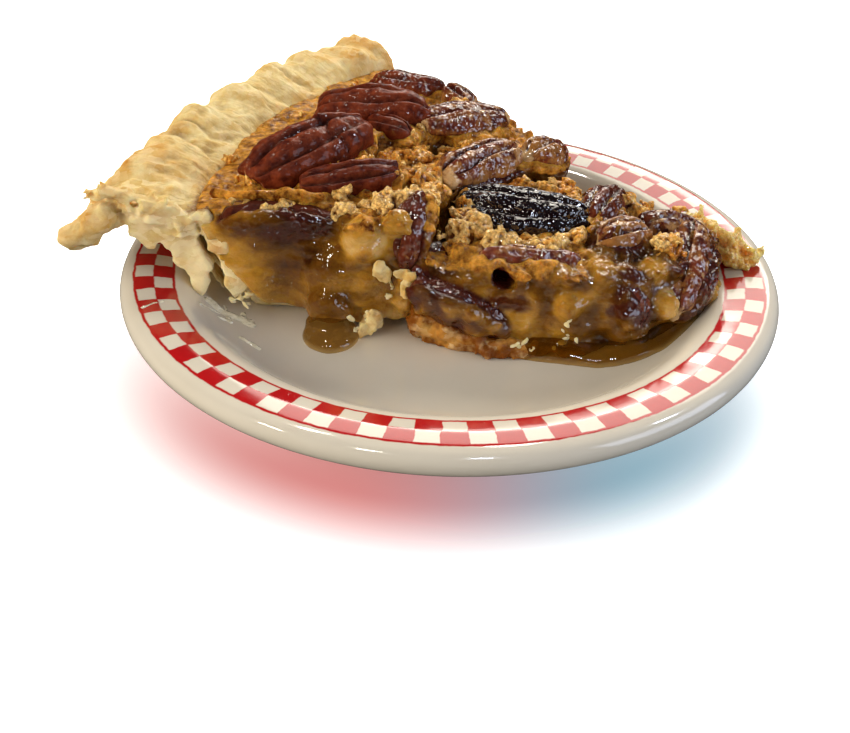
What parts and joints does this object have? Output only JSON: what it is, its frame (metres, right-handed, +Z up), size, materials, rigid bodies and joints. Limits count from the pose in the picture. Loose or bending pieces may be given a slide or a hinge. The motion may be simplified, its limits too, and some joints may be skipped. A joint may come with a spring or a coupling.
{
  "type": "slice of pecan pie on a plate",
  "caption": "Slice of pecan pie with a fluted crust, broken across the middle and sagging, on a small round plate with a checked rim band.",
  "frame": {"origin": "bottom centre of the whole part's bounding box, on the table under the plate's foot", "axes": "+Z up from the table, +X towards the slice's point, +Y away from the cut face that shows"},
  "size_m": [0.1502, 0.1606, 0.0422],
  "materials": {
    "glazed_china": "glossy cream glaze with a red and white checked band",
    "baked_pastry": "pale baked pastry, golden on its crests",
    "sugar_filling": "glistening amber brown set filling",
    "golden_crumb": "rough golden baked crumb",
    "pecan_nut": "syrup glazed nut, red brown to near black"
  },
  "bodies": {
    "root": {"plate": "glazed_china", "pastry_shell": "baked_pastry", "pastry_base_tip": "baked_pastry", "pastry_chip_high": "baked_pastry", "pastry_chip_low": "baked_pastry", "filling_back": "sugar_filling", "filling_tip": "sugar_filling", "crumb_tail": "golden_crumb", "pecan_top_large": "pecan_nut", "pecan_top_low": "pecan_nut", "pecan_top_back": "pecan_nut", "pecan_top_far": "pecan_nut", "pecan_top_small": "pecan_nut", "pecan_top_glossy": "pecan_nut", "pecan_far_stub": "pecan_nut", "pecan_ridge": "pecan_nut", "pecan_ridge_end": "pecan_nut", "pecan_dark": "pecan_nut", "pecan_tip_upright": "pecan_nut", "pecan_tip_pale": "pecan_nut", "pecan_tip_back": "pecan_nut", "pecan_tip_nose": "pecan_nut", "pecan_break_top": "pecan_nut", "pecan_front_strip": "pecan_nut", "pecan_front_shelf": "pecan_nut", "pecan_front_right": "pecan_nut", "pecan_break_low": "pecan_nut", "pecan_near_cut": "pecan_nut"}
  },
  "joints": []
}
